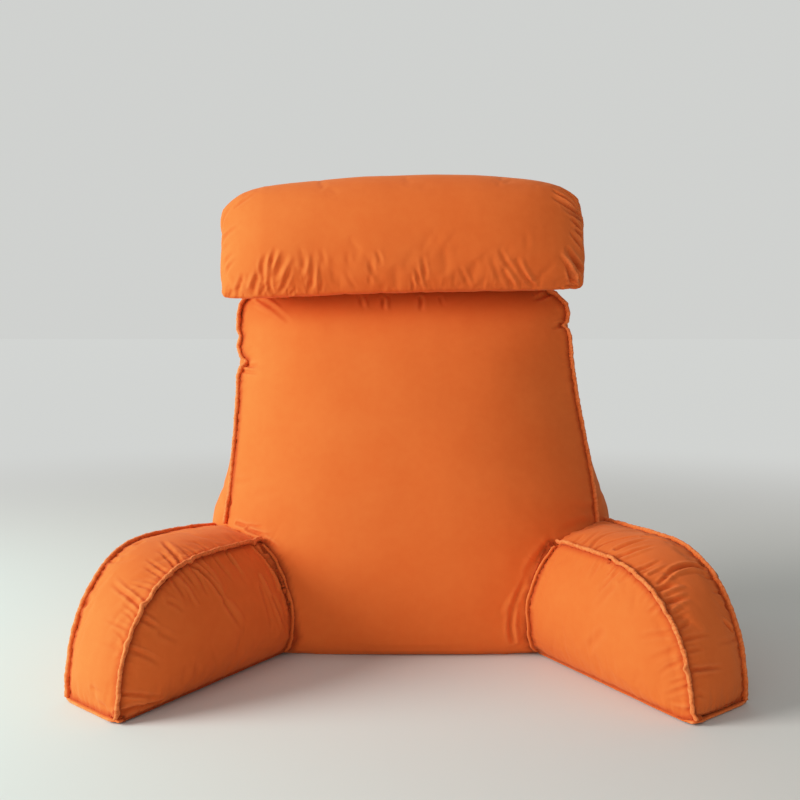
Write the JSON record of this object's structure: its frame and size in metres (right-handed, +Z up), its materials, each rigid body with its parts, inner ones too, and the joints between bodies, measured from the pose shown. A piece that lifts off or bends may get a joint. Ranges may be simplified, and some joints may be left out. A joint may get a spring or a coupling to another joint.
{
  "type": "reading pillow with arms",
  "caption": "Freestanding filled reading pillow: a wedge backrest with half-moon arms that splay forwards and a neck roll across its top, with welted seams.",
  "frame": {"origin": "on the floor, under the centre of the bounding box", "axes": "+X to the right of a viewer in front of the pillow, +Y towards the flat back, +Z up; the sitter faces -Y"},
  "size_m": [0.8038, 0.5044, 0.6509],
  "materials": {
    "cloth": "matte brushed",
    "welt": "matte brushed",
    "tab": "matte woven"
  },
  "bodies": {
    "root": {"backrest": "cloth", "arm_left": "cloth", "arm_right": "cloth", "neck_roll": "cloth", "backrest_front_welt": "welt", "backrest_back_welt": "welt", "arm_left_inner_welt": "welt", "arm_left_outer_welt": "welt", "arm_left_base_welt": "welt", "arm_right_inner_welt": "welt", "arm_right_outer_welt": "welt", "arm_right_base_welt": "welt", "arm_left_rear_welt": "welt", "arm_right_rear_welt": "welt", "arm_right_tab": "tab"}
  },
  "joints": []
}
